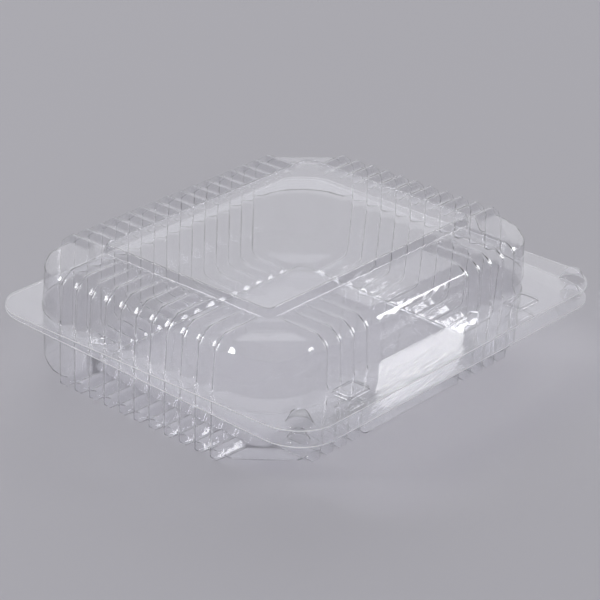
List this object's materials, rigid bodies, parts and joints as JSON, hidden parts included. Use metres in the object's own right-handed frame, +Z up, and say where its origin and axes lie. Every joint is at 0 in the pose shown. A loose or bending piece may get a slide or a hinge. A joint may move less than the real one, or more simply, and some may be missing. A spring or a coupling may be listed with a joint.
{
  "type": "plastic clamshell pack",
  "caption": "Clear thermoformed hinged food pack: ribbed tray and domed ribbed lid with a framed flat top, wide flanges, a living hinge and snap buttons at the front corners.",
  "frame": {"origin": "centre of the rims' outline, on the surface that the pack stands on", "axes": "+Z up, X along the hinge, the opening side with the snap buttons faces -Y and the hinge is at +Y"},
  "size_m": [0.21, 0.177, 0.0629],
  "materials": {
    "tray_sheet": "clear thermoformed polystyrene, polished, very slightly wavy in thickness",
    "lid_sheet": "clear thermoformed polystyrene, polished, very slightly wavy in thickness"
  },
  "bodies": {
    "base": {"base_tray": "tray_sheet"},
    "cover": {"lid": "lid_sheet"}
  },
  "joints": [
    {"name": "lid_hinge", "type": "hinge", "parent": "base", "child": "cover", "pos_m": [0, 0.0888, 0.0303], "axis": [-1, 0, 0], "range_deg": [-2, 178]}
  ]
}
